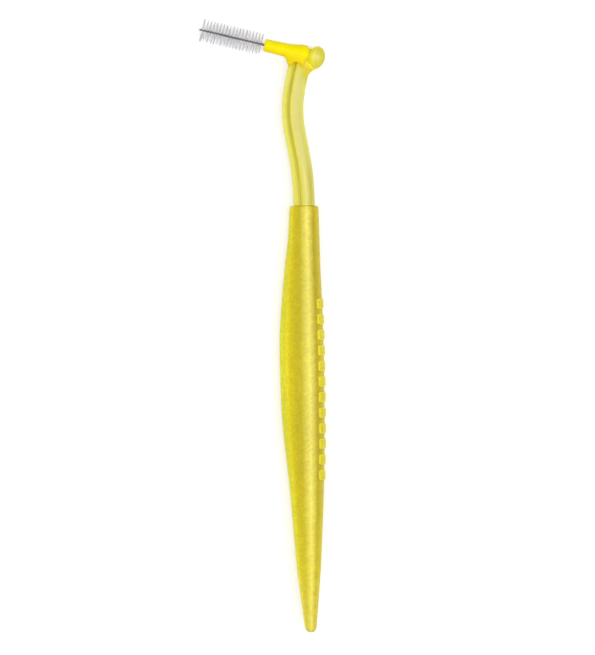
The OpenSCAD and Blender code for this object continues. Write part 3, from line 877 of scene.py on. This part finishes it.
def neck_material():
    """Clear plastic with painted light and shade, and tones of their own for its parts."""
    material, tree, shader = principled(
        "clear_yellow", srgb(236, 228, 120), 0.3, Subsurface_Weight=0.3, Subsurface_Scale=0.001,
        IOR=1.49, Coat_Weight=0.05, Coat_Roughness=0.15)
    shader.inputs["Transmission Weight"].default_value = 0.18
    shader.inputs["Specular IOR Level"].default_value = 0.07
    shader.inputs["Subsurface Radius"].default_value = (1.0, 0.9, 0.4)
    add_grain(tree, shader, scale=700, strength=0.08, distance=0.00004)
    across = add_attribute(tree, "across")
    # Painted light across the neck: bright edges, a painted dark line over the flute and a painted
    # pale highlight down the middle.
    tones = add_ramp(tree, across, [
        (0.10, srgb(248, 243, 113)), (0.22, srgb(219, 210, 79)), (0.32, srgb(208, 197, 69)),
        (0.43, srgb(236, 228, 103)), (0.66, srgb(228, 218, 139)), (0.86, srgb(225, 219, 103)),
        (1.00, srgb(243, 240, 134)),
    ])
    # The same painted light and shade across the neck, in other tones near the rim.
    foot = add_ramp(tree, across, [
        (0.08, srgb(247, 242, 112)), (0.21, srgb(226, 214, 81)), (0.32, srgb(220, 205, 71)),
        (0.48, srgb(226, 219, 94)), (0.60, srgb(238, 232, 133)), (0.83, srgb(204, 192, 81)),
        (1.00, srgb(232, 226, 119)),
    ])
    tones = add_mix(tree, add_attribute(tree, "foot"), tones, foot)
    # Painted light at the rim, which lifts the shade where the neck meets the grip.
    seam = add_ramp(tree, across, [
        (0.42, srgb(255, 248, 86)), (0.58, srgb(255, 250, 130)), (0.83, srgb(234, 227, 82)),
        (0.91, srgb(240, 234, 112)),
    ])
    tones = add_mix(tree, add_attribute(tree, "seam"), tones, seam)
    drop = add_attribute(tree, "drop")
    tones = add_product(tree, tones, add_ramp(tree, drop, [
        (0.40, (0.98, 0.93, 0.25)), (0.53, (0.98, 0.95, 0.38)), (0.65, (1, 0.98, 0.75)),
        (0.83, grey(1))]))
    tones = add_mix(tree, add_attribute(tree, "web"), tones, add_ramp(tree, drop, [
        (0.33, srgb(253, 234, 6)), (0.52, srgb(230, 208, 0)), (0.88, srgb(215, 208, 50))]))
    # Painted light on the knob: a pale painted highlight on its dome, painted shade at its back
    # and rim, and painted light at its front that lifts the shade beside the collar.
    knob_painted_light = add_ramp(tree, add_attribute(tree, "along"), [
        (0.03, srgb(214, 206, 40)), (0.15, srgb(232, 223, 50)), (0.50, srgb(240, 225, 140)),
        (0.70, srgb(255, 245, 120)), (0.95, srgb(255, 250, 38))])
    edge = add_ramp(tree, add_attribute(tree, "rim"), [
        (0.0, grey(1)), (0.2, (0.98, 0.98, 0.82)), (0.45, (0.95, 0.97, 0.25)),
        (0.9, (0.97, 1.0, 0.3))])
    tones = add_mix(tree, add_attribute(tree, "knob"), tones, add_product(tree, knob_painted_light, edge))
    tones = add_mottle(tree, tones, scale=1200, depth=0.04)
    tree.links.new(tones, shader.inputs["Base Color"])
    return material


def refill_material():
    """Opaque glossy plastic, deeper in tone below the brush's axis."""
    material, tree, shader = principled(
        "bright_yellow", srgb(243, 225, 0), 0.4, Subsurface_Weight=0.2, Subsurface_Scale=0.0008)
    shader.inputs["Subsurface Radius"].default_value = (1.0, 0.8, 0.1)
    shader.inputs["Specular IOR Level"].default_value = 0.1
    add_grain(tree, shader, scale=1500, strength=0.12, distance=0.00003)
    tones = add_ramp(tree, add_attribute(tree, "drop"), [
        (0.00, srgb(246, 229, 0)), (0.13, srgb(243, 222, 0)), (0.38, srgb(228, 201, 0))])
    tones = add_mottle(tree, tones, scale=900, depth=0.06)
    tree.links.new(tones, shader.inputs["Base Color"])
    return material


def wire_material():
    """Drawn steel, dull and uneven."""
    material, tree, shader = principled("drawn_steel", srgb(104, 102, 108), 0.38, Metallic=1.0)
    add_grain(tree, shader, scale=9000, strength=0.2, distance=0.00001)
    tones = add_ramp(tree, add_noise(tree, scale=5000, detail=3), [
        (0.3, srgb(86, 84, 90)), (0.7, srgb(118, 116, 122))])
    tree.links.new(tones, shader.inputs["Base Color"])
    return material


def bristle_material():
    """Clear nylon, pale at the wire and greyer at the tips."""
    material, tree, shader = principled("clear_nylon", srgb(228, 225, 232), 0.4, IOR=1.53)
    shader.inputs["Transmission Weight"].default_value = 0.1
    tones = add_ramp(tree, add_attribute(tree, "reach"), [
        (0.2, srgb(240, 238, 241)), (0.9, srgb(212, 209, 215))])
    tones = add_mottle(tree, tones, scale=2500, depth=0.1)
    tree.links.new(tones, shader.inputs["Base Color"])
    return material


def dress(obj, material, body):
    """Give a piece its material and the body it rides on."""
    obj.data.materials.clear()
    obj.data.materials.append(material)
    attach(obj, body)


# Camera and room

# The photograph's height and the place at its middle in millimetres, the camera's distance and
# nearest view in metres, and its turn in degrees.
PHOTO_HEIGHT_MM = 147.375
VIEW_MIDDLE = (-1.89, 16.46)
CAMERA_DISTANCE = 1.2
CAMERA_CLIP = 0.05
CAMERA_LEAN = 0.849
# Lights: name, place and size in metres, power in watts. They all face one place.
LIGHTS = [
    ("strip", (0.16, 0.02, 0.5), (0.1, 0.9), 2.5),
    ("left_fill", (-0.6, 0.0, 0.35), (0.5, 0.8), 1.4),
]
LIGHTS_FACE = (0, 0.02, 0)
WORLD_STRENGTH = 0.45
# Floor: half its side in metres, how far it lies below the object in millimetres, its own tone,
# and the light added to it where the camera or a reflection sees it.
FLOOR_HALF = 1.5
FLOOR_DROP = 0.05
FLOOR_TONE = 0.8
FLOOR_LIFT = 0.3


def make_camera():
    """Long lens straight above, framed as the photograph."""
    data = bpy.data.cameras.new("camera")
    data.lens = data.sensor_width * CAMERA_DISTANCE / (PHOTO_HEIGHT_MM * MM)
    data.clip_start = CAMERA_CLIP
    camera = bpy.data.objects.new("camera", data)
    x, y = VIEW_MIDDLE
    camera.location = (x * MM, y * MM, CAMERA_DISTANCE + REST_HEIGHT * MM)
    camera.rotation_euler = (0, 0, math.radians(-CAMERA_LEAN))
    bpy.context.scene.collection.objects.link(camera)
    bpy.context.scene.camera = camera


def add_light(name, place, size, power):
    """Soft rectangular light."""
    data = bpy.data.lights.new(name, "AREA")
    data.shape = "RECTANGLE"
    data.size, data.size_y = size
    data.energy = power
    light = bpy.data.objects.new(name, data)
    light.location = place
    way = Vector(LIGHTS_FACE) - Vector(place)
    light.rotation_euler = way.to_track_quat("-Z", "Y").to_euler()
    bpy.context.scene.collection.objects.link(light)


def make_floor():
    """Pale floor that looks near white to the camera and in reflections, with its shadow kept."""
    floor = add_mesh("floor", [
        (x * FLOOR_HALF / MM, y * FLOOR_HALF / MM, -FLOOR_DROP)
        for x, y in ((-1, -1), (1, -1), (1, 1), (-1, 1))
    ], [(0, 1, 2, 3)])
    material, tree, shader = principled("pale_floor", grey(FLOOR_TONE), 0.9)
    path = tree.nodes.new("ShaderNodeLightPath")
    seen = add_math(tree, "MAXIMUM", path.outputs["Is Camera Ray"], path.outputs["Is Glossy Ray"])
    seen = add_math(tree, "MAXIMUM", seen, path.outputs["Is Transmission Ray"])
    lift = add_math(tree, "MULTIPLY", seen, FLOOR_LIFT)
    shader.inputs["Emission Color"].default_value = (*grey(1), 1)
    tree.links.new(lift, shader.inputs["Emission Strength"])
    floor.data.materials.append(material)


def make_world():
    """Even white light from all around."""
    world = bpy.data.worlds.new("studio")
    bpy.context.scene.world = world
    world.use_nodes = True
    background = world.node_tree.nodes["Background"]
    background.inputs["Color"].default_value = (*grey(1), 1)
    background.inputs["Strength"].default_value = WORLD_STRENGTH


bpy.context.scene.view_settings.view_transform = "Standard"
make_camera()
make_floor()
make_world()
for light in LIGHTS:
    add_light(*light)

grip = make_grip()
dress(grip, grip_material(), "handle")
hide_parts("grip")
neck = make_neck()
dress(neck, neck_material(), "handle")
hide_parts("neck")
shell, shank = make_refill()
yellow = refill_material()
for piece in (shell, shank):
    dress(piece, yellow, "refill")
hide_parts("refill_body")
wire = make_wire()
dress(wire, wire_material(), "refill")
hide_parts("twisted_wire")
bristles = make_bristles()
dress(bristles, bristle_material(), "refill")
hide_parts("bristles")
